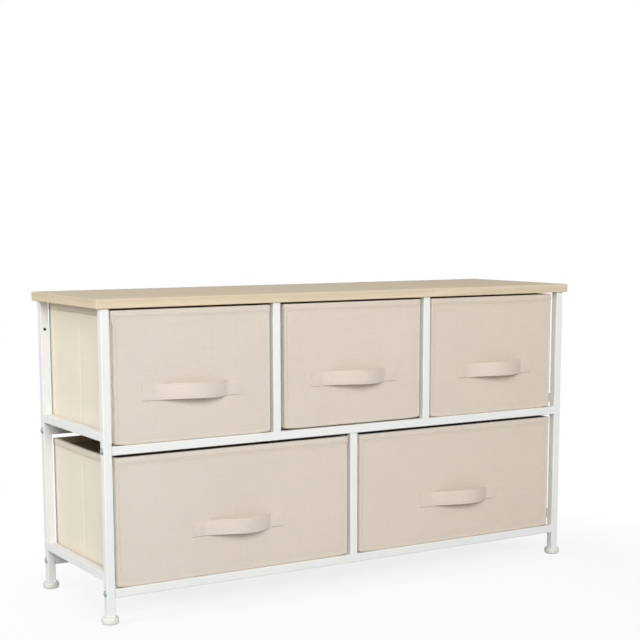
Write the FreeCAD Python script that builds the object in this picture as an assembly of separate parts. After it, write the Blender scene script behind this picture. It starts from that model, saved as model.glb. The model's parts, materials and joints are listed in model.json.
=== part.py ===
"""Five-drawer fabric dresser: a white steel tube frame, a laminate top board and fabric drawers.

Millimetres. X runs along the board, -Y is the front, Z is up.
The origin is on the floor, in the middle of the whole dresser, straps included.
"""
import FreeCAD, Part
import math
import os

V = FreeCAD.Vector

# ---- driving sizes: the whole dresser -------------------------------------------------------
total_height = 546.0
board_length = 1000.0
board_depth = 300.0
board_thickness = 16.0
board_edge_round = 1.5
side_overhang = 9.0           # board past the posts, left and right
front_overhang = 4.0          # board past the posts, front and rear

# ---- driving sizes: the frame ---------------------------------------------------------------
tube = 15.0                   # square tube, outside
tube_wall = 1.0
tube_corner = 1.6             # outside corner radius
foot_height = 13.0            # floor to the tubes' lower ends
bottom_rail_top = 60.0
mid_rail_top = 302.0
bottom_side_rail_rise = 12.5  # side rail's underside above the bottom long rail's top
mid_side_rail_rise = 8.0      # side rail's underside above the middle long rail's top
wall_hole_below_board = 51.0
wall_hole_radius = 2.75

# ---- driving sizes: feet, plugs and bolts ---------------------------------------------------
foot_radius = 14.7
foot_shoulder = 4.5           # rounded upper edge, under the tube
foot_base_round = 4.5         # rounded lower edge
plug_clearance = 0.15         # plug to the tube's inside, each side
foot_plug_length = 22.0
top_plug_length = 16.0
peg_radius = 4.0
peg_length = 9.0
peg_clearance = 0.1
peg_hole_spare = 1.0          # blind hole's depth beyond the peg
nut_length = 20.0             # threaded plug in a tube's end
bolt_radius = 3.0
bolt_hole_clearance = 0.25
thread_clearance = 0.05
bolt_grip = 14.0              # thread inside the plug
side_head_radius = 6.0
side_head_height = 3.2
divider_head_radius = 5.0
divider_head_height = 2.0

# ---- driving sizes: the drawers -------------------------------------------------------------
drawer_gaps = {               # to the post or divider on the left and right: no two cloth boxes sit alike
    "upper_left": (7.2, 4.8), "upper_middle": (8.8, 5.6), "upper_right": (5.2, 9.2),
    "lower_left": (5.7, 4.9), "lower_right": (6.0, 9.2)}
drawer_setback = 3.0          # fabric front behind the rails' front faces
drawer_rear_gap = 6.0         # fabric rear in front of the rails' rear faces
running_gap = 0.3             # drawer above what carries it
upper_top_gap = 3.6           # drawer's rim under the board
lower_top_gap = 5.4           # drawer's rim under the middle rail
drawer_corner = 2.0
fabric = 0.8
stiffener_slack = 0.3         # stiffener to its pocket's walls, each side
front_stiffener = 3.0
side_stiffener = 2.5
bottom_stiffener = 3.0
hem = 12.0                    # closed top edge above the stiffeners
strap_length = 182.0
strap_width = 27.0
strap_thickness = 2.0
strap_sewn_end = 30.0
strap_bow = 18.0
strap_seat = 0.3
strap_height = 86.0           # strap's middle above the carrying rail's top
strap_offset = {              # as sewn: to the right of the drawer's middle, and above strap_height
    "upper_left": (-4.5, -0.8), "upper_middle": (-0.6, 1.3), "upper_right": (3.6, -0.7),
    "lower_left": (0.4, -1.5), "lower_right": (1.4, -1.1)}

# ---- worked-out places ----------------------------------------------------------------------
strap_reach = strap_seat + strap_thickness + strap_bow - drawer_setback
rear_reach = max(front_overhang, foot_radius - tube / 2)
body_y = (max(strap_reach, rear_reach) - rear_reach) / 2    # the straps stand furthest forward
board_underside = total_height - board_thickness
frame_length = board_length - 2 * side_overhang
frame_depth = board_depth - 2 * front_overhang
front_y = body_y - frame_depth / 2
post_x = frame_length / 2 - tube / 2
row_y = {"front": front_y + tube / 2, "rear": front_y + frame_depth - tube / 2}
side_x = {"left": -post_x, "right": post_x}
inner_length = frame_length - 2 * tube
inner_depth = frame_depth - 2 * tube
post_length = board_underside - foot_height
bottom_rail_z = bottom_rail_top - tube / 2
mid_rail_z = mid_rail_top - tube / 2
bottom_side_z = bottom_rail_top + bottom_side_rail_rise + tube / 2
mid_side_z = mid_rail_top + mid_side_rail_rise + tube / 2
upper_bay = (inner_length - 2 * tube) / 3
lower_bay = (inner_length - tube) / 2
upper_divider_x = {"left": -(upper_bay + tube) / 2, "right": (upper_bay + tube) / 2}
wall_hole_z = board_underside - wall_hole_below_board
bore = tube - 2 * tube_wall
bore_corner = tube_corner - tube_wall / 2
plug_size = bore - 2 * plug_clearance
bolt_hole_radius = bolt_radius + bolt_hole_clearance
drawer_front_y = front_y + drawer_setback
drawer_depth = frame_depth - drawer_setback - drawer_rear_gap

os.makedirs("parts", exist_ok=True)


def export(node, shape):
    shape.exportStep("parts/" + node + ".step")


def box(size, centre):
    corner = V(centre) - V(size) / 2
    return Part.makeBox(size[0], size[1], size[2], corner)


def round_edges_along(shape, axis, radius):
    """Round the straight edges that run along one axis, full length only."""
    ends = {"x": V(1, 0, 0), "y": V(0, 1, 0), "z": V(0, 0, 1)}[axis]
    edges = [e for e in shape.Edges if abs(abs(e.tangentAt(e.FirstParameter).dot(ends)) - 1) < 1e-6]
    return shape.makeFillet(radius, edges)


def edges_at(shape, z):
    """The edges that lie flat at one height."""
    return [e for e in shape.Edges if abs(e.BoundBox.ZMin - z) < 1e-6 and abs(e.BoundBox.ZMax - z) < 1e-6]


def bar(length, across, corner, centre, axis):
    """A square bar with rounded long edges."""
    size = {"x": (length, across, across), "y": (across, length, across), "z": (across, across, length)}
    return round_edges_along(box(size[axis], centre), axis, corner)


def square_tube(length, centre, axis):
    return bar(length, tube, tube_corner, centre, axis).cut(bar(length, bore, bore_corner, centre, axis))


def rod(radius, start, end):
    direction = V(end) - V(start)
    return Part.makeCylinder(radius, direction.Length, V(start), direction)


def cross_hole(radius, centre, axis):
    """A drill through both walls of a tube."""
    half = V(axis) * tube
    return rod(radius, V(centre) - half, V(centre) + half)


# ---- top board ------------------------------------------------------------------------------
def support_places():
    """Where posts and upper dividers meet the board."""
    columns = [side_x["left"], upper_divider_x["left"], upper_divider_x["right"], side_x["right"]]
    return [(x, y) for x in columns for y in row_y.values()]


board = box((board_length, board_depth, board_thickness),
            (0, body_y, board_underside + board_thickness / 2))
board = board.makeFillet(board_edge_round, board.Edges)
for x, y in support_places():
    hole_top = board_underside + peg_length + peg_hole_spare
    board = board.cut(rod(peg_radius + peg_clearance, (x, y, board_underside - 1), (x, y, hole_top)))
export("top_board", board)

# ---- posts, side rails and feet -------------------------------------------------------------
for side, x in side_x.items():
    for row, y in row_y.items():
        post = square_tube(post_length, (x, y, foot_height + post_length / 2), "z")
        for z in (bottom_rail_z, mid_rail_z):
            post = post.cut(cross_hole(bolt_hole_radius, (x, y, z), (1, 0, 0)))
        if row == "rear":
            post = post.cut(cross_hole(wall_hole_radius, (x, y, wall_hole_z), (0, 1, 0)))
        export("post_" + row + "_" + side, post)

        foot = rod(foot_radius, (x, y, 0), (x, y, foot_height))
        foot = foot.makeFillet(foot_shoulder, edges_at(foot, foot_height))
        foot = foot.makeFillet(foot_base_round, edges_at(foot, 0))
        plug_middle = foot_height + foot_plug_length / 2
        foot = foot.fuse(bar(foot_plug_length, plug_size, bore_corner, (x, y, plug_middle), "z"))
        export("foot_" + row + "_" + side, foot.removeSplitter())
    for level, z in (("bottom", bottom_side_z), ("mid", mid_side_z)):
        export("side_rail_" + level + "_" + side, square_tube(inner_depth, (x, body_y, z), "y"))

# ---- long rails -----------------------------------------------------------------------------
for row, y in row_y.items():
    for level, z, drilled in (("bottom", bottom_rail_z, [0.0]),
                              ("mid", mid_rail_z, [0.0] + list(upper_divider_x.values()))):
        rail = square_tube(inner_length, (0, y, z), "x")
        for x in drilled:
            rail = rail.cut(cross_hole(bolt_hole_radius, (x, y, z), (0, 0, 1)))
        export("rail_" + level + "_" + row, rail)


# ---- dividers: a front upright, a rear upright and a depth rail between them ------------------
def divider(name, x, low, high, depth_rail_z):
    for row, y in row_y.items():
        export(name + "_upright_" + row, square_tube(high - low, (x, y, (low + high) / 2), "z"))
    export(name + "_depth_rail", square_tube(inner_depth, (x, body_y, depth_rail_z), "y"))


for side, x in upper_divider_x.items():
    divider("divider_upper_" + side, x, mid_rail_top, board_underside, mid_side_z)
divider("divider_lower", 0.0, bottom_rail_top, mid_rail_top - tube, bottom_side_z)


# ---- plugs and bolts ------------------------------------------------------------------------
def threaded_plug(end, direction):
    """A plug pressed into a tube's end; end is the middle of the tube's end face."""
    axis = {0: "x", 1: "y", 2: "z"}[[abs(round(c)) for c in direction].index(1)]
    middle = V(end) + V(direction) * (nut_length / 2)
    plug = bar(nut_length, plug_size, bore_corner, middle, axis)
    return plug.cut(rod(bolt_radius + thread_clearance, V(end), V(end) + V(direction) * nut_length))


def bolt(seat, direction, shank, head_radius, head_height):
    """A domed bolt; seat is where its head's underside rests, direction is the way it is screwed in."""
    inward = V(direction)
    ball = (head_radius ** 2 + head_height ** 2) / (2 * head_height)
    dome = Part.makeSphere(ball, V(seat) + inward * (ball - head_height))
    head = rod(head_radius + 1, V(seat) - inward * (head_height + 1), V(seat)).common(dome)
    return head.fuse(rod(bolt_radius, V(seat), V(seat) + inward * shank)).removeSplitter()


for side, sign in (("left", 1), ("right", -1)):
    bolts = []
    for y in row_y.values():
        for z in (bottom_rail_z, mid_rail_z):
            seat = (-sign * frame_length / 2, y, z)
            bolts.append(bolt(seat, (sign, 0, 0), tube + bolt_grip, side_head_radius, side_head_height))
    export("side_bolts_" + side, Part.makeCompound(bolts))

rail_nuts = []
for y in row_y.values():
    for z in (bottom_rail_z, mid_rail_z):
        for sign in (1, -1):
            rail_nuts.append(threaded_plug((-sign * inner_length / 2, y, z), (sign, 0, 0)))
export("rail_end_nuts", Part.makeCompound(rail_nuts))

divider_nuts = []
divider_bolts = []
top_pegs = []
for y in row_y.values():
    joints = [(x, mid_rail_top, 1) for x in upper_divider_x.values()]
    joints += [(0.0, bottom_rail_top, 1), (0.0, mid_rail_top - tube, -1)]
    for x, z, up in joints:
        divider_nuts.append(threaded_plug((x, y, z), (0, 0, up)))
        divider_bolts.append(bolt((x, y, z - up * tube), (0, 0, up), tube + bolt_grip,
                                  divider_head_radius, divider_head_height))
export("divider_end_nuts", Part.makeCompound(divider_nuts))
export("divider_bolts", Part.makeCompound(divider_bolts))

for x, y in support_places():
    plug = bar(top_plug_length, plug_size, bore_corner, (x, y, board_underside - top_plug_length / 2), "z")
    peg = rod(peg_radius, (x, y, board_underside), (x, y, board_underside + peg_length))
    top_pegs.append(plug.fuse(peg))
export("top_pegs", Part.makeCompound(top_pegs))


# ---- drawers --------------------------------------------------------------------------------
def strap(x, y, z):
    """A flat webbing strap: both ends lie on the fabric and the middle bows forward."""
    free = strap_length - 2 * strap_sewn_end

    def bowed(depth):
        steps = 12
        points = []
        for i in range(steps + 1):
            along = i / steps
            rise = strap_bow * (1 - math.cos(2 * math.pi * along)) / 2
            points.append(V(x - free / 2 + free * along, y - depth - rise, z - strap_width / 2))
        curve = Part.BSplineCurve()
        curve.interpolate(Points=points, InitialTangent=V(1, 0, 0), FinalTangent=V(1, 0, 0))
        return curve.toShape()

    edges = []
    for depth in (0.0, strap_thickness):
        start = V(x - strap_length / 2, y - depth, z - strap_width / 2)
        end = V(x + strap_length / 2, y - depth, z - strap_width / 2)
        edges.append(Part.makeLine(start, start + V(strap_sewn_end, 0, 0)))
        edges.append(bowed(depth))
        edges.append(Part.makeLine(end - V(strap_sewn_end, 0, 0), end))
    for sign in (-1, 1):
        corner = V(x + sign * strap_length / 2, y, z - strap_width / 2)
        edges.append(Part.makeLine(corner, corner - V(0, strap_thickness, 0)))
    outline = Part.Wire(Part.__sortEdges__(edges))
    return Part.Face(outline).extrude(V(0, 0, strap_width))


def drawer(place, bay_middle, bay_width, carrier_top, ceiling, lift):
    """One fabric drawer: shell, stiffeners in its pockets, bottom board and strap."""
    gap_left, gap_right = drawer_gaps[place]
    width = bay_width - gap_left - gap_right
    x = bay_middle + (gap_left - gap_right) / 2
    low = carrier_top + lift + running_gap
    height = ceiling - low
    middle_z = low + height / 2
    rear_y = drawer_front_y + drawer_depth
    middle_y = (drawer_front_y + rear_y) / 2
    front_wall = 2 * fabric + front_stiffener + 2 * stiffener_slack
    side_wall = 2 * fabric + side_stiffener + 2 * stiffener_slack
    floor_skin = fabric

    shell = round_edges_along(box((width, drawer_depth, height), (x, middle_y, middle_z)), "z", drawer_corner)
    room = (width - 2 * side_wall, drawer_depth - front_wall - side_wall, height - floor_skin)
    room_middle = (x, middle_y + (front_wall - side_wall) / 2, low + floor_skin + room[2] / 2)
    shell = shell.cut(box(room, room_middle))

    # Each stiffener: its size along the wall, its thickness, and its middle.
    stiffener_height = height - hem - 2 * fabric
    stiffener_z = low + fabric + stiffener_height / 2
    across = width - 2 * (side_wall + drawer_corner)
    along = room[1] - 2 * fabric
    front_y_middle = drawer_front_y + front_wall / 2
    rear_y_middle = rear_y - side_wall / 2
    side_offset = width / 2 - side_wall / 2
    sheets = {
        "front": [((across, front_stiffener, stiffener_height), (x, front_y_middle, stiffener_z))],
        "side": [((across, side_stiffener, stiffener_height), (x, rear_y_middle, stiffener_z)),
                 ((side_stiffener, along, stiffener_height), (x - side_offset, room_middle[1], stiffener_z)),
                 ((side_stiffener, along, stiffener_height), (x + side_offset, room_middle[1], stiffener_z))],
    }
    slack = V(1, 1, 1) * (2 * stiffener_slack)
    for group, members in sheets.items():
        for size, middle in members:
            shell = shell.cut(box(V(size) + slack, middle))
        boards = [box(size, middle) for size, middle in members]
        export("drawer_" + place + "_" + group + "_stiffener", Part.makeCompound(boards))
    export("drawer_" + place + "_shell", shell)

    floor = (room[0] - 2 * stiffener_slack, room[1] - 2 * stiffener_slack, bottom_stiffener)
    floor_middle = (x, room_middle[1], low + floor_skin + bottom_stiffener / 2)
    export("drawer_" + place + "_bottom_board", box(floor, floor_middle))
    aside, above = strap_offset[place]
    strap_z = carrier_top + strap_height + above
    export("drawer_" + place + "_strap", strap(x + aside, drawer_front_y - strap_seat, strap_z))


upper_pitch = upper_bay + tube
for place, column in (("upper_left", -1), ("upper_middle", 0), ("upper_right", 1)):
    # The middle drawer runs over the heads of the bolts that hold the lower divider.
    over_heads = divider_head_height if column == 0 else 0.0
    drawer(place, column * upper_pitch, upper_bay, mid_rail_top, board_underside - upper_top_gap, over_heads)
for place, column in (("lower_left", -1), ("lower_right", 1)):
    lower_ceiling = mid_rail_top - tube - lower_top_gap
    drawer(place, column * (lower_bay + tube) / 2, lower_bay, bottom_rail_top, lower_ceiling, 0.0)
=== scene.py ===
# %% [markdown]
# # Dressing a fabric drawer dresser
# The construction of this dresser is already modelled: a white frame of square steel tube, a
# laminate top board, and five cloth drawers that slide out. This lesson gives it its looks. Hard
# parts keep their construction shape and get a finish. Soft parts, which a construction model can
# only rough out, are modelled again here, each in exactly the place of the one that it stands for.

# %% Load the construction model
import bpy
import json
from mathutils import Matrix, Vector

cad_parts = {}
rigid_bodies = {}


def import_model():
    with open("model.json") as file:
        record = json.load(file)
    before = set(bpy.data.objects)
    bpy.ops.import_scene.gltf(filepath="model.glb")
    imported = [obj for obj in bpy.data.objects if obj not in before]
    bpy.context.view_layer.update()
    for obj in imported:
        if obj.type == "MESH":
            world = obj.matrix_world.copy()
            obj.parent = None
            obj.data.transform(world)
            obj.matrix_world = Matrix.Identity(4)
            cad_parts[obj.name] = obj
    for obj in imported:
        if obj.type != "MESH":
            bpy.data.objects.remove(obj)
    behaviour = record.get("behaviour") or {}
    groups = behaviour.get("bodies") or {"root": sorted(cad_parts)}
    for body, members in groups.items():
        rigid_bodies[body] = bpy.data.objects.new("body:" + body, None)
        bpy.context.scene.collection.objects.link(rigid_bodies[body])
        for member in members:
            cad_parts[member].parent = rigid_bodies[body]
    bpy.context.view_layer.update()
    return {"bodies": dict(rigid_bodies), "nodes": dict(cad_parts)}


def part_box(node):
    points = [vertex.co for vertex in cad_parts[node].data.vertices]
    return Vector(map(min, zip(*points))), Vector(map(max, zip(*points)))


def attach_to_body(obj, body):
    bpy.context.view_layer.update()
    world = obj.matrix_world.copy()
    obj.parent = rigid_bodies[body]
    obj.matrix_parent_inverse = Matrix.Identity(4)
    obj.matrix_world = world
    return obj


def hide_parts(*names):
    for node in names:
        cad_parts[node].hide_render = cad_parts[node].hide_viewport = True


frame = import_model()

# %% [markdown]
# ## The tools of this lesson
# bpy is Blender itself, and its operators are the same commands as its menus. bmesh lets a script
# point at faces and edges, as a hand does with the mouse. mathutils has vectors and smooth noise.

# %% Bring in the tools
import json
import math

import bmesh
import bpy
from mathutils import Matrix, Vector, noise

# %% [markdown]
# ## The camera
# The camera stands to the left of the dresser, at about the height of its top, and looks slightly
# down. A long lens keeps the far end from shrinking. Verticals stay upright because the camera
# hardly tilts: the picture is moved on the sensor instead, with a shift, as on a view camera.

# %% Place the camera
bpy.ops.object.camera_add()
camera = bpy.context.object
camera.name = "camera"
camera.data.sensor_width = 36
camera.data.lens = 79.195
camera.data.shift_y = 0.1676
camera.data.clip_end = 100
camera.matrix_world = (
    Matrix.Translation((-1.3797, -2.2790, 0.6729))
    @ Matrix.Rotation(math.radians(-31.42), 4, "Z")
    @ Matrix.Rotation(math.radians(90 - 8.39), 4, "X")
    @ Matrix.Rotation(math.radians(-0.11), 4, "Z")
)
bpy.context.scene.camera = camera
bpy.context.scene.view_settings.view_transform = "Standard"
print("camera distance:", round(camera.location.length, 2), "m")

# %% [markdown]
# ## Holding and selecting
# An operator acts on whatever is selected, so every step begins by letting everything go. pick()
# then selects faces, edges or points by where they are and which way they look, which is what a
# modeller does by eye. block() is the usual start: a cube at its final size and place, with the
# place moved into the mesh, so that the object itself stays at the origin.

# %% Helpers for modelling
def hold(piece):
    """Selects one piece alone and makes it the active one."""
    for other in list(bpy.context.selected_objects):
        other.select_set(False)
    bpy.context.view_layer.objects.active = piece
    piece.select_set(True)


def edit(piece):
    """Opens a piece in edit mode."""
    hold(piece)
    bpy.ops.object.mode_set(mode="EDIT")


def close():
    """Leaves edit mode."""
    bpy.ops.object.mode_set(mode="OBJECT")


def pick(kind, test):
    """Selects the open piece's faces, edges or points whose middle and direction pass a test."""
    bpy.ops.mesh.select_mode(type=kind)
    bpy.ops.mesh.select_all(action="DESELECT")
    mesh = bmesh.from_edit_mesh(bpy.context.object.data)
    if kind == "FACE":
        things = [(f, f.calc_center_median(), f.normal) for f in mesh.faces]
    elif kind == "EDGE":
        things = [(e, (e.verts[0].co + e.verts[1].co) / 2,
                   (e.verts[1].co - e.verts[0].co).normalized()) for e in mesh.edges]
    else:
        things = [(v, v.co, v.normal) for v in mesh.verts]
    for thing, middle, way in things:
        if test(middle, way):
            thing.select_set(True)
    mesh.select_flush_mode()
    bmesh.update_edit_mesh(bpy.context.object.data)


def cut(axis, places):
    """Cuts the open piece right through at each place along X, Y or Z, which leaves edges there."""
    way = [0, 0, 0]
    way[axis] = 1
    for place in places:
        bpy.ops.mesh.select_all(action="SELECT")
        bpy.ops.mesh.bisect(plane_co=[place * n for n in way], plane_no=way)


def between(low, high, step):
    """Even places between two ends, about a step apart."""
    count = max(2, round((high - low) / step))
    return [low + (high - low) * i / count for i in range(1, count)]


def block(name, low, high):
    """A cube primitive that fills the box between two corners."""
    low, high = Vector(low), Vector(high)
    bpy.ops.object.select_all(action="DESELECT")
    bpy.ops.mesh.primitive_cube_add(size=1, location=(low + high) / 2, scale=high - low)
    piece = bpy.context.object
    piece.name = piece.data.name = name
    bpy.ops.object.transform_apply(location=True, rotation=True, scale=True)
    return piece


def modify(piece, kind, **settings):
    """Adds a modifier, sets it and applies it at once."""
    hold(piece)
    modifier = piece.modifiers.new(kind, kind)
    for key, value in settings.items():
        setattr(modifier, key, value)
    bpy.ops.object.modifier_apply(modifier=modifier.name)


def smooth(piece, degrees=40):
    """Shades a piece smooth, with edges kept where it turns by more than an angle."""
    hold(piece)
    bpy.ops.object.shade_smooth_by_angle(angle=math.radians(degrees))


def join(pieces, name):
    """Makes one piece of several."""
    hold(pieces[0])
    for piece in pieces[1:]:
        piece.select_set(True)
    bpy.ops.object.join()
    pieces[0].name = pieces[0].data.name = name
    return pieces[0]


def shape(piece, move):
    """Moves every point of a piece by the small vector that move gives for it."""
    for point in piece.data.vertices:
        point.co += Vector(move(point.co))


def dress(piece, finishes, choose=lambda middle, way: 0):
    """Gives a piece its finishes; choose says which of them a face gets."""
    piece.data.materials.clear()
    for finish in finishes:
        piece.data.materials.append(finish.material)
    for face in piece.data.polygons:
        face.material_index = choose(face.center, face.normal)


def attach(piece, body, slot, *nodes):
    """Lets a piece ride on a body and hides the parts that it stands for; slot is not used."""
    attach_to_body(piece, body)
    if nodes:
        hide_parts(*nodes)


print("helpers ready")

# %% [markdown]
# ## Shader maths as sums
# A finish is a network of nodes. Dozens of Math nodes are hard to read, so a small class wraps one
# socket and gives it the plus, minus and times signs: writing 0.5 - 0.4 * noise adds two nodes.
# Finish is a material, and its node() adds any other node: type first, settings, then sockets.

# %% Helpers for finishes
class Value:
    """A number or vector that changes over a surface."""

    def __init__(self, finish, socket):
        self.finish, self.socket = finish, socket

    def __add__(self, other):
        return self.finish.math("ADD", self, other)

    def __sub__(self, other):
        return self.finish.math("SUBTRACT", self, other)

    def __rsub__(self, other):
        return self.finish.math("SUBTRACT", other, self)

    def __mul__(self, other):
        return self.finish.math("MULTIPLY", self, other)

    __radd__, __rmul__ = __add__, __mul__


class Finish:
    """A material. Sockets that are the same all over are given once, when it is made."""

    def __init__(self, name, sockets):
        self.material = bpy.data.materials.new(name)
        self.material.use_nodes = True
        self.tree = self.material.node_tree
        self.shader = self.tree.nodes["Principled BSDF"]
        for key, value in sockets.items():
            self.shader.inputs[key].default_value = value
        self.place = self.node("TexCoord", out="Object")

    def feed(self, socket, value):
        """Links a socket, or sets it."""
        if isinstance(value, Value):
            self.tree.links.new(value.socket, socket)
        else:
            socket.default_value = value

    def node(self, kind, settings=None, sockets=None, out=0):
        """Adds any node: its type, then its settings, then the values or links of its sockets."""
        made = self.tree.nodes.new("ShaderNode" + kind)
        for key, value in (settings or {}).items():
            setattr(made, key, value)
        for key, value in (sockets or {}).items():
            self.feed(made.inputs[key], value)
        return Value(self, made.outputs[out])

    def math(self, operation, *values):
        return self.node("Math", {"operation": operation}, dict(enumerate(values)))

    def parts(self, vector):
        """The X, Y and Z of a vector."""
        split = self.node("SeparateXYZ", sockets={0: vector})
        return [Value(self, socket) for socket in split.socket.node.outputs]

    def stretch(self, vector, factors):
        return self.node("VectorMath", {"operation": "MULTIPLY"}, {0: vector, 1: factors})

    def cloud(self, vector, scale=1.0, detail=2.0):
        """Soft random noise from 0 to 1; its blotches are about 1 / scale across."""
        return self.node("TexNoise", None, {"Vector": vector, "Scale": scale, "Detail": detail})

    def only(self, value, low, high):
        """0 below low, 1 above high, and a slope between."""
        return self.node("MapRange", None, {"Value": value, "From Min": low, "From Max": high})

    def blend(self, first, second, amount):
        """A colour between two others."""
        return self.node("Mix", {"data_type": "RGBA"}, {0: amount, 6: first, 7: second}, out=2)

    def surface(self, colour, roughness, height, depth):
        """Connects colour, roughness and a relief of that depth in metres."""
        self.feed(self.shader.inputs["Base Color"], colour)
        self.feed(self.shader.inputs["Roughness"], roughness)
        relief = self.node("Bump", None, {"Height": height, "Distance": depth})
        self.feed(self.shader.inputs["Normal"], relief)


def paint(red, green, blue, by=1.0):
    """A colour from a paint chart, 0 to 255, as the linear numbers that shaders use."""
    light = [v / 255 for v in (red, green, blue)]
    light = [v / 12.92 if v <= 0.04045 else ((v + 0.055) / 1.055) ** 2.4 for v in light]
    return tuple(min(1.0, v * by) for v in light) + (1.0,)


print("finish helpers ready")

# %% [markdown]
# ## White powder coat
# The tubes are sprayed with dry powder that melts into a skin. It is satin, a little wavy like
# orange peel, and never quite even. A picture of paint could be wrapped round the tubes, but noise
# in three dimensions needs no unwrapping and passes round corners without a seam. The powder does
# not reach the inside of a tube, so in the rear posts, which have a hole, the bare steel is darker;
# there it is painted near-black as painted shade inside the hole.

# %% White powder coat
steel = Finish("white_powder_coat", {"Coat Weight": 0.08, "Coat Roughness": 0.3})
peel = steel.cloud(steel.place, 480, 1)
grit = steel.cloud(steel.place, 2600, 1)
patch = steel.cloud(steel.place, 14, 3)
scuff = steel.only(steel.cloud(steel.stretch(steel.place, (60, 60, 14)), 1, 4), 0.66, 0.8)
post_low, post_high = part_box("post_rear_right")
inside_tube = 0.0066    # from the post's axis to just beyond its inner faces
from_axis = [steel.math("ABSOLUTE", part - middle) for part, middle in (
    (steel.math("ABSOLUTE", steel.parts(steel.place)[0]), (post_low.x + post_high.x) / 2),
    (steel.parts(steel.place)[1], (post_low.y + post_high.y) / 2))]
# Inside the hollow rear posts: bare steel, painted near-black as painted shade in the hole
bare_steel_painted_shade = steel.math("LESS_THAN", steel.math("MAXIMUM", *from_axis), inside_tube)
steel.surface(
    steel.blend(
        steel.blend(paint(238, 240, 238), paint(221, 223, 219), 0.35 * patch + 0.35 * scuff),
        # painted shade: near-black inside the rear posts
        paint(46, 44, 42),
        bare_steel_painted_shade,
    ),
    0.36 + 0.14 * peel + 0.15 * scuff,
    0.75 * peel + 0.25 * grit,
    0.00009,
)
print("powder coat: orange peel of about", round(1000 / 480, 1), "mm")

# %% [markdown]
# ## Light oak laminate
# The top is a board with printed, lightly embossed wood paper, its grain running along the length,
# and tape of the same wood on its edges. The grain is noise squeezed across the board and drawn
# out along it. Which way is "across" depends on the face: on the top it is depth, on the edge
# tapes it is height, so the face's own direction chooses.

# %% Light oak laminate
oak = Finish("oak_laminate", {"Specular IOR Level": 0.15})
x, y, z = oak.parts(oak.place)
facing = [oak.math("ABSOLUTE", part) for part in oak.parts(oak.node("TexCoord", out="Normal"))]
along = x + y * facing[0]
across = z + y * facing[2]


def wood(along_scale, across_scale, detail):
    """Noise that is long along the grain and narrow across it."""
    vector = oak.node("CombineXYZ", None, {0: along * along_scale, 1: across * across_scale})
    return oak.cloud(vector, 1, detail)


flow = wood(1.3, 7, 2)
rings = oak.math("SINE", (across + 0.09 * flow) * (2 * math.pi / 0.021))
fibre = wood(9, 330, 3)
pores = oak.only(wood(28, 1500, 1), 0.6, 0.74)
sheet_tone = wood(0.8, 14, 2)
grain = 0.16 * rings + 0.55 * fibre + 0.45 * sheet_tone - 0.08
oak.surface(
    oak.blend(
        oak.blend(paint(233, 219, 193), paint(205, 187, 157), grain),
        paint(176, 155, 122),
        0.45 * pores,
    ),
    0.56 + 0.16 * fibre + 0.1 * pores,
    0.4 * fibre - 0.6 * pores,
    0.00012,
)
print("laminate: pores about", round(1000 / 1500, 2), "mm wide")

# %% [markdown]
# ## Woven cloth
# The drawers are covered in a linen-like cloth. Its look comes from three scales at once: single
# threads that pass over and under each other, thicker stretches of thread called slubs that make
# faint streaks, and slow clouds of lighter and darker dye. The threads are two sine waves at right
# angles: where their product is positive the upright thread is on top, elsewhere the level one.
# One function makes the cloth for each direction that a panel can face.

# %% Woven cloth
def woven(name, across, up, colour, thread=0.0009, streaks=1.0):
    """A cloth for panels that lie along two of the axes."""
    cloth = Finish(name, {"Sheen Weight": 0.2, "Sheen Roughness": 0.5, "Specular IOR Level": 0.2})
    wander = 0.0014 * cloth.cloud(cloth.place, 55, 1)
    axes = cloth.parts(cloth.place)
    warp = cloth.math("SINE", (axes[across] + wander) * (math.pi / thread))
    weft = cloth.math("SINE", (axes[up] + wander) * (math.pi / thread))
    over = warp * weft
    weave = cloth.math(
        "MAXIMUM",
        cloth.math("ABSOLUTE", warp) * (0.55 + 0.45 * over),
        cloth.math("ABSOLUTE", weft) * (0.55 - 0.45 * over),
    )
    slubs = []
    for long, short in ((across, up), (up, across)):
        drawn = [30.0, 30.0, 30.0]
        drawn[long], drawn[short] = 16.0, 620.0
        slubs.append(cloth.only(cloth.cloud(cloth.stretch(cloth.place, drawn), 1, 2), 0.52, 0.78))
    dye = cloth.cloud(cloth.place, 11, 3)
    mottle = cloth.cloud(cloth.place, 130, 3)
    fleck = cloth.cloud(cloth.place, 1500, 1)
    slub = streaks * (slubs[0] + 0.8 * slubs[1])
    light = 0.34 * dye + 0.24 * mottle + 0.16 * weave + 0.2 * slub + 0.14 * fleck
    # Towards the right of the dresser the cloth turns warmer: painted warm light, together with a
    # slow drift in the cloth's own colour.
    painted_warm_light_and_drift = cloth.blend((1, 1, 1, 1), (1.0, 0.967, 0.93, 1), cloth.only(axes[0], -0.5, 0.5))
    cloth.surface(
        cloth.stretch(cloth.blend(paint(*colour, by=0.9), paint(*colour, by=1.1), light), painted_warm_light_and_drift),
        0.8 + 0.14 * fleck,
        0.6 * weave + 0.7 * slub + 0.25 * fleck,
        0.0003,
    )
    return cloth


front_tone, side_tone = (224, 214, 201), (245, 235, 216)
front_cloth = woven("linen_front", 0, 2, front_tone)
rear_cloth = woven("linen_rear", 0, 2, side_tone)
side_cloth = woven("linen_side", 1, 2, side_tone, streaks=0.5)
floor_cloth = woven("linen_floor", 0, 1, side_tone, streaks=0.5)
binding = woven("linen_binding", 1, 2, (230, 219, 201))
strap_cloth = woven("linen_strap", 0, 2, (224, 213, 202), thread=0.0011, streaks=0.7)
print("cloths:", [c.material.name for c in (front_cloth, rear_cloth, side_cloth, floor_cloth,
                                            binding, strap_cloth)])

# %% [markdown]
# ## Small finishes
# Sewing thread is a twist of strands, so its light runs in fine slanted bands. The bolts are zinc
# plated: metal, slightly blue, with a dull bloom. The glides under the feet are off-white moulded
# plastic, and the threaded plugs inside the tubes are black. The drawers are lined with a thin
# brown felt that is pressed, not woven, so it has dimples and no threads. The boards inside the
# walls are pressed grey-brown card; they hardly ever show, but they are finished all the same.

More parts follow.
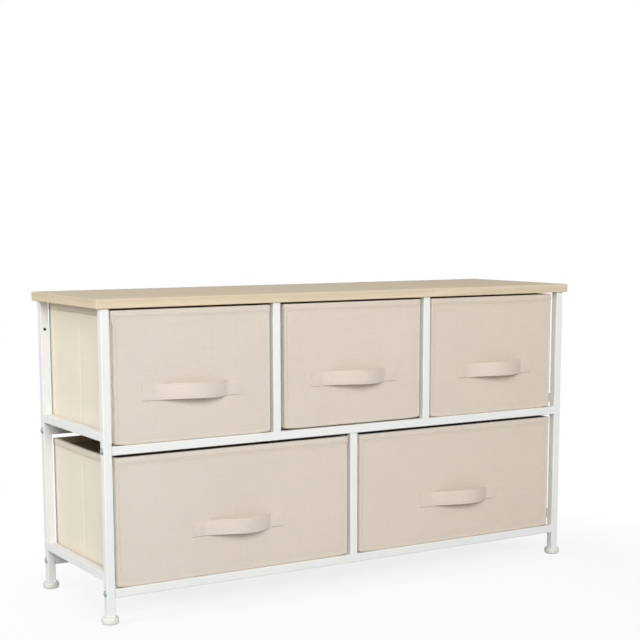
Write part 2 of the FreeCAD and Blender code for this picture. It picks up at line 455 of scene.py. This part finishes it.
# %% Thread, zinc, plastics, lining and card
thread = Finish("sewing_thread", {"Sheen Weight": 0.3, "Specular IOR Level": 0.3})
tx, ty, tz = thread.parts(thread.place)
# The twist's bands are painted into the thread's colour as painted light and shade, and are also a
# fine relief.
twist_relief_and_painted_light = thread.math("SINE", (tx + ty + 0.6 * tz) * (2 * math.pi / 0.0005))
fuzz = thread.cloud(thread.place, 2500, 1)
thread.surface(
    thread.blend(paint(212, 198, 178), paint(236, 226, 210), 0.35 + 0.3 * twist_relief_and_painted_light + 0.3 * fuzz),
    0.65 + 0.2 * fuzz, twist_relief_and_painted_light + fuzz, 0.00006,
)

zinc = Finish("zinc_plate", {})
bloom = zinc.cloud(zinc.place, 420, 3)
spangle = zinc.cloud(zinc.place, 1900, 1)
zinc.surface(
    zinc.blend(paint(118, 131, 135), paint(172, 183, 186), 0.7 * bloom + 0.3 * spangle),
    0.38 + 0.3 * bloom, bloom + 0.5 * spangle, 0.00005,
)
zinc.feed(zinc.shader.inputs["Metallic"], 0.7 + 0.25 * bloom)

glide = Finish("glide_plastic", {"Coat Weight": 0.05, "Coat Roughness": 0.3})
mould = glide.cloud(glide.place, 900, 2)
stain = glide.cloud(glide.place, 60, 3)
glide.surface(
    glide.blend(paint(232, 230, 226), paint(214, 211, 204), 0.5 * stain + 0.2 * mould),
    0.4 + 0.2 * mould, mould, 0.00008,
)

plug = Finish("black_plug_plastic", {})
ripple = plug.cloud(plug.place, 700, 2)
plug.surface(
    plug.blend(paint(28, 28, 29), paint(52, 52, 54), ripple),
    0.4 + 0.25 * ripple, ripple, 0.00008,
)

lining = Finish("pressed_lining", {"Sheen Weight": 0.1, "Specular IOR Level": 0.2})
fibres = lining.cloud(lining.place, 600, 4)
dimples = lining.node("TexVoronoi", None, {"Vector": lining.place, "Scale": 420.0})
lining.surface(
    lining.blend(paint(198, 172, 138), paint(220, 198, 166), fibres),
    0.85 + 0.1 * fibres, dimples + 0.6 * fibres, 0.00025,
)

card = Finish("pressed_card", {"Specular IOR Level": 0.2})
pulp = card.cloud(card.place, 260, 4)
flecks = card.only(card.cloud(card.stretch(card.place, (300, 300, 900)), 1, 2), 0.6, 0.75)
card.surface(
    card.blend(
        card.blend(paint(172, 156, 132), paint(194, 180, 156), pulp),
        paint(120, 104, 84),
        0.5 * flecks,
    ),
    0.85 + 0.1 * pulp, pulp + flecks, 0.0001,
)
print("small finishes ready")

# %% [markdown]
# ## Finishing the hard parts
# The tubes, the board, the feet and the bolts already have the right shape, so they keep it. Only
# the material in their slot changes. The slot's old name says what the part is made of.

# %% Give the hard parts their finishes
by_slot = {"white_steel": steel, "oak_laminate": oak, "foot_plastic": glide, "bolt_steel": zinc,
           "plug_plastic": plug, "stiffener_board": card, "bottom_board": card}
finished = 0
for node in frame["nodes"].values():
    for material_slot in node.material_slots:
        if material_slot.material.name in by_slot:
            material_slot.material = by_slot[material_slot.material.name].material
            finished += 1
print("hard parts finished:", finished)

# %% [markdown]
# ## Sizes of the soft parts
# All in metres. The wall is cloth over card, so it is nearly five millimetres thick. The hem stands
# proud of it by less than a millimetre, and the edge seams of the front panel by half of that. Hand
# work is never quite even, so each handle has its own small errors, and four of the drawers have
# lost a little of their shape.

# %% Sizes of the soft parts
wall = 0.0047          # cloth, card and cloth again
corner = 0.002         # rounding of the box's edges
hem = 0.0128           # height of the turned-over edge
proud = 0.0007         # how far the hem stands off the wall
seam_rise = 0.0004     # height of the ridge where panels meet
seam_inset = 0.0066    # from a panel's edge to its row of stitches
sewn_end = 0.027       # flat length at each end of a handle strap
strap_thickness = 0.002
strap_row = 0.0108     # from the strap's middle to the rows along its edges
end_rows = (0.0028, 0.0195, 0.0238)     # from the strap's tip to the rows across it
stitch_step = 0.0033
# Each handle as sewn: its length and width against the plan, its place, the rise of its middle,
# and its tilt.
handles = {
    "drawer_upper_left": (1.016, 1.0, 0.0003, 0.0007, 0.0),
    "drawer_upper_middle": (1.005, 0.955, 0.0014, 0.0002, 0.0),
    "drawer_upper_right": (0.973, 0.985, 0.0, 0.001, 0.0022),
    "drawer_lower_left": (0.99, 1.0, 0.0004, -0.0011, 0.0),
    "drawer_lower_right": (1.0, 1.0, 0.0, 0.0004, 0.0),
}
cell = 0.0125          # size of the small faces that a wall is cut into
crease = 0.004         # half the width of the fold crease in a side wall
crease_depth = 0.0008
one_layer = 0.0008     # thickness of the floor, which is cloth alone
sewn_level = 0.0022    # from the hem's lower edge to its row of stitches
dent = 0.0009          # how far the cloth can go in before it lies on the card
skin = 0.0019          # points that lie deeper than this are on the inside of the wall
# How far a drawer has lost its shape: its left wall leans out at the rear, the upper left corner of
# its front leans out, the rim of its left wall sags, the right edge of its front goes in.
splay = {"drawer_upper_left": 0.003}
flare = {"drawer_upper_left": 0.0028}
slump = {"drawer_lower_left": 0.0034}
tuck = {"drawer_upper_right": 0.0027, "drawer_lower_right": 0.0018}
drawers = sorted(body for body in frame["bodies"] if body.startswith("drawer_"))
box_of = {body + part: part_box(body + part) for body in drawers
          for part in ("_shell", "_strap", "_bottom_board")}
print("drawers:", drawers)

# %% [markdown]
# ## How the cloth of a drawer lies
# A card-backed front is flat, but not dead flat: it swells and dips by half a millimetre, and the
# sewn ends of the handle pull the cloth in around them. Everything that sits on the front, the
# stitches and the strap as well as the panel itself, asks front_swell() how far the cloth stands
# out at a place, so they all stay on its surface. Smooth noise with a different start for every
# drawer makes them differ, and gives the same result each time. give() is the larger loss of shape:
# sideways only the outer cloth goes, because the card inside the wall stays where it is, and
# downwards the rim sags. Last, sharpen() clears up the corners on the inside of a thick wall.

# %% How far the cloth stands out
def ramp(value, low, high):
    """0 below low, 1 above high, a smooth slope between."""
    t = min(1.0, max(0.0, (value - low) / (high - low)))
    return t * t * (3 - 2 * t)


def start_of(body):
    """Where in the noise a drawer begins."""
    return Vector((drawers.index(body) * 3.7, 1.3, drawers.index(body) * 1.9))


def swell(body, point, low, high):
    """How far the cloth stands out of its flat plane, and how far away the nearer side wall is."""
    seed = start_of(body)
    rim = min(point.z - low.z, high.z - hem - point.z)
    flank = max(0, min(point.x - low.x, high.x - point.x))
    fade = ramp(rim, 0.0, 0.04)
    wave = 0.0007 * noise.noise(point * 6 + seed) + 0.00035 * noise.noise(point * 17 + seed)
    return fade * wave, flank


def front_swell(body, point, low, high):
    """How far the front panel stands out, with the pull of the handle's sewn ends."""
    wave, flank = swell(body, point, low, high)
    out = wave * ramp(flank, 0.006, 0.05)
    strap_low, strap_high = box_of[body + "_strap"]
    level = (strap_low.z + strap_high.z) / 2
    for end in (strap_low.x + sewn_end / 2, strap_high.x - sewn_end / 2):
        away = Vector(((point.x - end) / 0.022, (point.z - level) / 0.02))
        out -= 0.0005 * math.exp(-away.length_squared)
    return max(out, -dent)


def depth_of(point, low, high):
    """How far a point lies inside the nearest of the four upright sides of a box."""
    return min(point.x - low.x, high.x - point.x, point.y - low.y, high.y - point.y)


def give(body, point, low, high):
    """How a point moves where a drawer has lost its shape. The card stays, only the cloth goes."""
    back = (point.y - low.y) / (high.y - low.y)
    near_left = 1 - ramp(point.x, low.x + 0.02, low.x + 0.22)
    near_front = 1 - ramp(point.y, low.y + 0.001, low.y + 0.005)
    leaning = back * (high.x - point.x) / (high.x - low.x)
    flaring = near_left * (1 - ramp(back, 0, 0.4)) * ramp(point.z, high.z - 0.03, high.z - 0.008)
    tucking = near_front * ramp(point.x, high.x - 0.2, high.x - 0.01)
    sagging = near_left * ramp(back, 0.02, 0.35) * (1 - 0.35 * ramp(back, 0.55, 1))
    sagging *= ramp(point.z, high.z - 0.06, high.z - 0.01)
    left = splay.get(body, 0) * leaning + flare.get(body, 0) * flaring + tuck.get(body, 0) * tucking
    outer = 1 - ramp(depth_of(point, low, high), 0.0012, skin)
    return -left * outer, 0, -slump.get(body, 0) * sagging


def sharpen(piece, low, high, thick):
    """Draws the inner corners, which overlap in a wall thicker than their rounding, to one line."""
    def pull(point):
        if depth_of(point, low, high) < skin or point.z < low.z + 0.006:
            return 0, 0, 0
        return (min(max(point.x, low.x + thick), high.x - thick) - point.x,
                min(max(point.y, low.y + thick), high.y - thick) - point.y, 0)

    shape(piece, pull)
    edit(piece)
    bpy.ops.mesh.select_all(action="SELECT")
    bpy.ops.mesh.remove_doubles(threshold=0.00005)
    close()


print("noise starts:", [tuple(round(v, 1) for v in start_of(body)) for body in drawers])

# %% [markdown]
# ## The cloth box
# A drawer starts as a cube. Its top face is deleted, its edges are rounded, and it is cut into a
# grid of small faces that can bend. The front panel is sewn in at its edges, which leaves a narrow
# ridge up each side and along the bottom, and each side wall has the upright crease by which the
# empty drawer folds flat. Solidify then gives the skin its wall thickness, inwards, and the floor
# is let down to a single layer of cloth so that the loose base board lies in it.
# A cloth simulation would be the way for a soft bag, but card-backed walls hardly move.

# %% Model the cloth boxes
def ridge(distance):
    """Profile of the raised seam, by the distance from the panel's edge."""
    return ramp(distance, 0.0012, 0.0022) - ramp(distance, 0.0046, 0.0056) \
        - 0.4 * (ramp(distance, 0.0056, 0.0064) - ramp(distance, 0.0068, 0.0082))


def cloth_box(body):
    low, high = box_of[body + "_shell"]
    top = high.z - proud
    box = block(body + "_cloth_box", low, (high.x, high.y, top))
    edit(box)
    pick("FACE", lambda middle, way: way.z > 0.9)
    bpy.ops.mesh.delete(type="FACE")
    pick("EDGE", lambda middle, way: middle.z < top - 0.001)
    bpy.ops.mesh.bevel(offset=corner, segments=3, affect="EDGES")
    bends = (0.0012, 0.0022, 0.0046, 0.0056, 0.0064, 0.0082)
    middle_y = (low.y + high.y) / 2
    cut(0, between(low.x + 0.012, high.x - 0.012, cell) + [low.x + s for s in bends]
        + [high.x - s for s in bends])
    cut(1, [low.y + 0.005] + between(low.y + 0.006, high.y - 0.006, cell)
        + [middle_y + s for s in (-crease, -0.0012, 0, 0.0012, crease)])
    cut(2, between(low.z + 0.012, top - 0.002, cell) + [low.z + s for s in bends])
    close()

    def move(point):
        dx = dy = dz = 0.0
        wave, flank = swell(body, point, low, high)
        below_hem = ramp(high.z - hem - point.z, -0.001, 0.001)
        if point.y < low.y + 0.0005:
            edge = min(flank, point.z - low.z)
            dy -= front_swell(body, point, low, high) + seam_rise * ridge(edge) * below_hem
        elif point.y > high.y - 0.0005:
            dy += wave * ramp(flank, 0.006, 0.05)
        if flank < 0.0005:
            out = wave * ramp(min(point.y - low.y, high.y - point.y), 0.006, 0.05)
            out -= crease_depth * ramp(crease - abs(point.y - middle_y), 0, crease) * below_hem
            out = max(out, -dent)
            dx += out if point.x > (low.x + high.x) / 2 else -out
        if point.z < low.z + 0.02 and flank < 0.02:
            dz += 0.0022 * (1 - flank / 0.02) * (1 - (point.z - low.z) / 0.02)
        return dx, dy, dz

    shape(box, move)
    modify(box, "SOLIDIFY", thickness=wall, offset=-1, use_even_offset=True)
    inner_floor = low.z + wall

    def let_down(point):
        floor = depth_of(point, low, high) > 0.003 and abs(point.z - inner_floor) < 0.0022
        return 0, 0, low.z + one_layer - point.z if floor else 0

    shape(box, let_down)
    sharpen(box, low, high, wall)
    shape(box, lambda point: give(body, point, low, high))

    def choose(middle, way):
        if depth_of(middle, low, high) > 0.8 * wall and middle.z > low.z + 0.0006:
            return 4
        if abs(way.z) > max(abs(way.x), abs(way.y)):
            return 3
        if abs(way.x) > 0.97:
            return 2
        return 0 if middle.y < low.y + 0.02 else 1

    dress(box, [front_cloth, rear_cloth, side_cloth, floor_cloth, lining], choose)
    smooth(box)
    attach(box, body, "drawer_fabric", body + "_shell")
    return box


for body in drawers:
    print(body, "faces:", len(cloth_box(body).data.polygons))

# %% [markdown]
# ## The hem
# The upper edge of the cloth is turned over and sewn down, which makes a band of double cloth all
# the way round. It could be painted on, but its lower edge throws a fine shadow line, so it is a
# ring of its own: a cube without top and bottom, rounded at the corners, a little wavy, and thick
# enough to wrap the wall from outside to inside. On the side walls the band is a strip of binding,
# and on its inside the lining runs up to the rim.

# %% Model the hems
def hem_band(body):
    low, high = box_of[body + "_shell"]
    seed = start_of(body)
    band = block(body + "_hem", (low.x - proud, low.y - proud, high.z - hem),
                 (high.x + proud, high.y + proud, high.z))
    edit(band)
    pick("FACE", lambda middle, way: abs(way.z) > 0.9)
    bpy.ops.mesh.delete(type="FACE")
    pick("EDGE", lambda middle, way: abs(way.z) > 0.9)
    bpy.ops.mesh.bevel(offset=corner + proud, segments=3, affect="EDGES")
    cut(0, between(low.x + 0.006, high.x - 0.006, 0.009))
    cut(1, between(low.y + 0.006, high.y - 0.006, 0.009))
    cut(2, [high.z - hem + s for s in (0.0014, sewn_level, 0.003, 0.0065)])
    close()

    def move(point):
        sewn = ramp(0.0008 - abs(point.z - (high.z - hem + sewn_level)), 0, 0.0007)
        out = 0.00018 * noise.noise(point * 60 + seed) - 0.0004 * sewn
        lower = 1 - ramp(point.z, high.z - hem, high.z - hem + 0.003)
        dz = 0.0004 * noise.noise(point * 22 + seed) * lower
        dy = -out if point.y < low.y + 0.001 else out if point.y > high.y - 0.001 else 0
        dx = -out if point.x < low.x + 0.001 else out if point.x > high.x - 0.001 else 0
        return dx, dy, dz

    shape(band, move)
    modify(band, "SOLIDIFY", thickness=wall + 2.6 * proud, offset=-1, use_even_offset=True)
    sharpen(band, low, high, wall + 1.6 * proud)
    modify(band, "BEVEL", width=0.0005, segments=2, limit_method="ANGLE",
           angle_limit=math.radians(50))
    shape(band, lambda point: give(body, point, low, high))

    def choose(middle, way):
        if depth_of(middle, low, high) > 0.8 * wall:
            return 2
        return 1 if abs(way.x) > 0.97 else 0

    dress(band, [front_cloth, binding, lining], choose)
    smooth(band)
    attach(band, body, "drawer_fabric")
    return band


for body in drawers:
    print(body, "hem faces:", len(hem_band(body).data.polygons))

# %% [markdown]
# ## Stitches
# A seam without stitches looks glued. One stitch is a tiny bar of thread, and a row of hundreds
# has to stay light, so it starts as an icosphere of twenty faces pulled long. The Array modifier
# repeats it along the row, and the rows of a drawer become one piece.

# %% Sew a row
def stitch_row(start, end):
    """A row of stitches along one axis."""
    start, end = Vector(start), Vector(end)
    way = (end - start).normalized()
    count = max(2, round((end - start).length / stitch_step))
    step = (end - start) / count
    size = [0.00115 if abs(part) > 0.5 else 0.0003 for part in way]
    bpy.ops.object.select_all(action="DESELECT")
    bpy.ops.mesh.primitive_ico_sphere_add(subdivisions=1, radius=1, location=start + step / 2,
                                          scale=size)
    row = bpy.context.object
    bpy.ops.object.transform_apply(location=True, rotation=True, scale=True)
    modify(row, "ARRAY", count=count, use_relative_offset=False, use_constant_offset=True,
           constant_offset_displace=step)
    return row


def seams(body):
    """The rows that hold a drawer's hem and the edges of its front panel."""
    low, high = box_of[body + "_shell"]
    level, out, inset = high.z - hem + sewn_level, proud + 0.00005, 0.006
    rows = [
        stitch_row((low.x + inset, low.y - out, level), (high.x - inset, low.y - out, level)),
        stitch_row((low.x + inset, high.y + out, level), (high.x - inset, high.y + out, level)),
        stitch_row((low.x - out, low.y + inset, level), (low.x - out, high.y - inset, level)),
        stitch_row((high.x + out, low.y + inset, level), (high.x + out, high.y - inset, level)),
    ]
    for side in (low.x + seam_inset, high.x - seam_inset):
        rows.append(stitch_row((side, low.y, low.z + 0.007), (side, low.y, high.z - hem - 0.001)))
    foot = low.z + seam_inset
    rows.append(stitch_row((low.x + 0.009, low.y, foot), (high.x - 0.009, low.y, foot)))
    sewn = join(rows, body + "_seam_stitches")

    def settle(point):
        on_front = abs(point.y - low.y) < 0.0004 and point.z < high.z - hem - 0.0005
        out = front_swell(body, point, low, high) if on_front else 0
        return Vector((0, -out, 0)) + Vector(give(body, point, low, high))

    shape(sewn, settle)
    dress(sewn, [thread])
    smooth(sewn, 80)
    attach(sewn, body, "drawer_fabric")
    return sewn


for body in drawers:
    print(body, "seam faces:", len(seams(body).data.polygons))

# %% [markdown]
# ## The handle straps
# A handle is a band of cloth folded double and sewn along both edges. Its ends are stitched flat to
# the front and the length between them bows out, so that a hand fits behind. It is made flat first,
# with all its stitches, and the finished band is bent in one move: that keeps the stitches on it.
# The underside is kept as a surface of its own, because it is seen from below.

# %% Model the straps
def bow(run):
    """How far the strap stands out: 0 at its sewn ends, 1 right of the middle. run is -1 to 1."""
    run = 2 * min(1.0, max(0.0, (run + 1) / 2)) ** 1.3 - 1
    inside = max(0.0, 1 - run * run)
    return 0.9 * inside + 0.1 * inside * inside


def strap(body):
    low, high = box_of[body + "_strap"]
    shell_low, shell_high = box_of[body + "_shell"]
    seed = start_of(body)
    centre_x, centre_z = (low.x + high.x) / 2, (low.z + high.z) / 2
    face = high.y - strap_thickness
    band = block(body + "_strap_band", (low.x, face, low.z), high)
    edit(band)
    pick("EDGE", lambda middle, way: True)
    bpy.ops.mesh.bevel(offset=0.0008, segments=3, affect="EDGES")
    reach = (high.x - low.x) / 2
    ends = [centre_x + side * (reach - inset) for side in (-1, 1) for inset in end_rows]
    beside = (-0.001, 0, 0.001)
    cut(0, between(low.x + 0.002, high.x - 0.002, 0.0028)
        + [end + s for end in ends for s in beside])
    cut(2, [centre_z + side * s for side in (-1, 1)
            for s in (0.003, 0.0065, strap_row - 0.001, strap_row, strap_row + 0.001)])
    close()
    rows = [band]
    for level in (centre_z - strap_row, centre_z + strap_row):
        rows.append(stitch_row((low.x + 0.002, face, level), (high.x - 0.002, face, level)))
    for end in ends:
        rows.append(stitch_row((end, face, centre_z - 0.0096), (end, face, centre_z + 0.0096)))
    for row in rows[1:]:
        dress(row, [thread])
    dress(band, [strap_cloth])
    band = join(rows, body + "_strap_band")
    full = high.y - strap_thickness - low.y
    long, wide, place, rise, slope = handles[body]

    def move(point):
        run = (point.x - centre_x) / (reach - sewn_end)
        lift = bow(run)
        level = (point.z - centre_z) / ((high.z - low.z) / 2)
        to_seam = min([abs(abs(point.z - centre_z) - strap_row)]
                      + [abs(point.x - end) for end in ends])
        groove = 0.00035 * ramp(0.0012 - to_seam, 0, 0.0011)
        crown = 0.0003 * (1 - level * level)
        front = 1 if point.y < high.y - strap_thickness / 2 else 0
        out = full * lift + front * (crown * 0.6 - groove)
        out += (1 - lift) * (front_swell(body, point, shell_low, shell_high) - 0.0003)
        out += lift * 0.0005 * noise.noise(point * 30 + seed)
        tilt = 0.0006 * noise.noise(seed + Vector((run * 0.6, 0, 0)))
        tilt += slope * (point.x - centre_x) / (2 * reach)
        wider = (wide - 1) * (point.z - centre_z)
        droop = place + (rise - 0.0018 * run) * lift
        return (long - 1) * (point.x - centre_x), -min(out, full + 0.0006), wider + tilt + droop

    shape(band, move)
    smooth(band, 60)
    attach(band, body, "strap_webbing", body + "_strap")
    return band


for body in drawers:
    print(body, "strap faces:", len(strap(body).data.polygons))

# %% [markdown]
# ## The base boards
# A loose board in cloth lies on each drawer's floor. It is a thin block with rounded edges whose
# cloth is not perfectly tight, so it is cut into a grid and pushed up and down by fractions of a
# millimetre.

# %% Model the base boards
def base_board(body):
    low, high = box_of[body + "_bottom_board"]
    seed = start_of(body)
    board = block(body + "_base", low, high)
    edit(board)
    pick("EDGE", lambda middle, way: True)
    bpy.ops.mesh.bevel(offset=0.0012, segments=3, affect="EDGES")
    cut(0, between(low.x + 0.004, high.x - 0.004, 0.018))
    cut(1, between(low.y + 0.004, high.y - 0.004, 0.018))
    close()

    def move(point):
        above = point.z > low.z + 0.002
        return 0, 0, 0.0006 * noise.noise(point * 14 + seed) if above else 0

    shape(board, move)
    dress(board, [lining])
    smooth(board)
    attach(board, body, "bottom_board", body + "_bottom_board")
    return board


for body in drawers:
    print(body, "base faces:", len(base_board(body).data.polygons))

# %% [markdown]
# ## Weld beads
# The side rails and the depth rails, which run from front to rear, are welded to their posts and
# uprights, and the coat goes over the weld. A bead is a low collar round the rail's end. It starts
# as a cube just larger than the rail, is rounded, cut into narrow steps, and rippled as a welder's
# small circles leave it.

# %% Model the weld beads
def weld(name, rail, end):
    """A bead round one end of a rail that runs along Y: end 0 is the front, end 1 the rear."""
    low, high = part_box(rail)
    plane = (low.y, high.y)[end]
    rise, width = 0.00055, 0.0016
    bead = block(name, (low.x - rise, plane - width, low.z - rise),
                 (high.x + rise, plane + width, high.z + rise))
    edit(bead)
    pick("EDGE", lambda middle, way: abs(way.y) > 0.9)
    bpy.ops.mesh.bevel(offset=0.0021, segments=3, affect="EDGES")
    pick("EDGE", lambda middle, way: abs(abs(middle.y - plane) - width) < 1e-5)
    bpy.ops.mesh.bevel(offset=0.0005, segments=2, affect="EDGES")
    cut(0, between(low.x, high.x, 0.0011))
    cut(2, between(low.z, high.z, 0.0011))
    close()

    def move(point):
        inward = Vector(((low.x + high.x) / 2 - point.x, 0, (low.z + high.z) / 2 - point.z))
        turn = (point.x - low.x + point.z - low.z) / 0.0023
        rough = 0.00012 * (1 + math.sin(2 * math.pi * turn)) + 0.0001 * noise.noise(point * 400)
        return inward.normalized() * rough

    shape(bead, move)
    return bead


welded = [name for name in sorted(frame["nodes"])
          if name.startswith("side_rail_") or name.endswith("depth_rail")]
beads = [weld(name + "_bead", name, end) for name in welded for end in (0, 1)]
beads = join(beads, "weld_beads")
dress(beads, [steel])
smooth(beads, 50)
attach(beads, "frame", "white_steel")
print("weld beads:", 2 * len(welded), "faces:", len(beads.data.polygons))

# %% [markdown]
# ## Floor and surroundings
# A product is shown on white. The floor is a large plane: seen directly, or in a shiny part, it is
# nearly a plain white, with enough real light in it for the dresser's soft shadow to stay. Light
# Path tells the shader which kind of ray is asking, so the white is not extra light on the object.

# %% Floor and world
def seen(finish):
    """1 for rays that see a thing directly, by reflection or through glass."""
    path = finish.node("LightPath").socket.node.outputs
    camera_ray, glossy, clear = (Value(finish, path[name]) for name in
                                 ("Is Camera Ray", "Is Glossy Ray", "Is Transmission Ray"))
    return finish.math("MAXIMUM", camera_ray, finish.math("MAXIMUM", glossy, clear))


bpy.ops.object.select_all(action="DESELECT")
bpy.ops.mesh.primitive_plane_add(size=60, location=(0, 0, 0))
floor = bpy.context.object
floor.name = "floor"
white = Finish("white_floor", {"Specular IOR Level": 0.0})
shade = white.blend((0.55, 0.55, 0.55, 1.0), (0.93, 0.93, 0.93, 1.0), seen(white))
white.surface(shade, 0.9, white.cloud(white.place, 40, 1), 0.00001)
glow = white.node("Emission", None, {"Color": (1, 1, 1, 1), "Strength": 1.0})
ahead = white.node("VectorMath", {"operation": "ADD"}, {0: white.place, 1: (0.0, 0.3, 0.0)})
ahead = white.stretch(ahead, (0.85, 1.0, 1.0))
distance = white.node("VectorMath", {"operation": "LENGTH"}, {0: ahead}, out="Value")
plain = 0.82 + 0.18 * white.only(distance, 0.45, 0.8)
lit = white.node("MixShader", None, {0: plain * seen(white),
                                     1: Value(white, white.shader.outputs[0]), 2: glow})
white.feed(white.tree.nodes["Material Output"].inputs["Surface"], lit)
dress(floor, [white])

room = bpy.data.worlds.new("room")
bpy.context.scene.world = room
room.use_nodes = True
background = room.node_tree.nodes["Background"]
background.inputs["Color"].default_value = (1, 1, 1, 1)
path = room.node_tree.nodes.new("ShaderNodeLightPath")
strength = 0.26
level = None
for name in ("Is Camera Ray", "Is Glossy Ray", "Is Transmission Ray"):
    step = room.node_tree.nodes.new("ShaderNodeMath")
    step.operation = "MULTIPLY_ADD"
    step.use_clamp = True
    step.inputs[1].default_value = 1 - strength
    room.node_tree.links.new(path.outputs[name], step.inputs[0])
    if level is None:
        step.inputs[2].default_value = strength
    else:
        room.node_tree.links.new(level, step.inputs[2])
    level = step.outputs[0]
room.node_tree.links.new(level, background.inputs["Strength"])
print("world light:", strength)

# %% [markdown]
# ## Lamps
# Three soft boxes do the rest. The first stands square to the left side and lights only that side.
# The second, near and a little left of the middle, is the main light: it throws the shadows under
# the board and the handles. The third stands on the right and keeps those shadows from going dark.

# %% Soft boxes
def soft_box(name, place, size, power):
    """A round lamp of a size in metres and a power in watts, turned towards the dresser."""
    bpy.ops.object.light_add(type="AREA", location=place)
    lamp = bpy.context.object
    lamp.name = name
    lamp.data.shape = "DISK"
    lamp.data.size = size
    lamp.data.energy = power
    lamp.rotation_euler = (Vector((0, 0, 0.3)) - Vector(place)).to_track_quat("-Z", "Y").to_euler()


soft_box("left", (-6.35, 0.0, 2.9), 3.0, 165)
soft_box("front_left", (-1.85, -3.7, 2.3), 2.3, 116)
soft_box("front_right", (1.4, -5.1, 2.9), 3.0, 64)
print("lamps: 3")
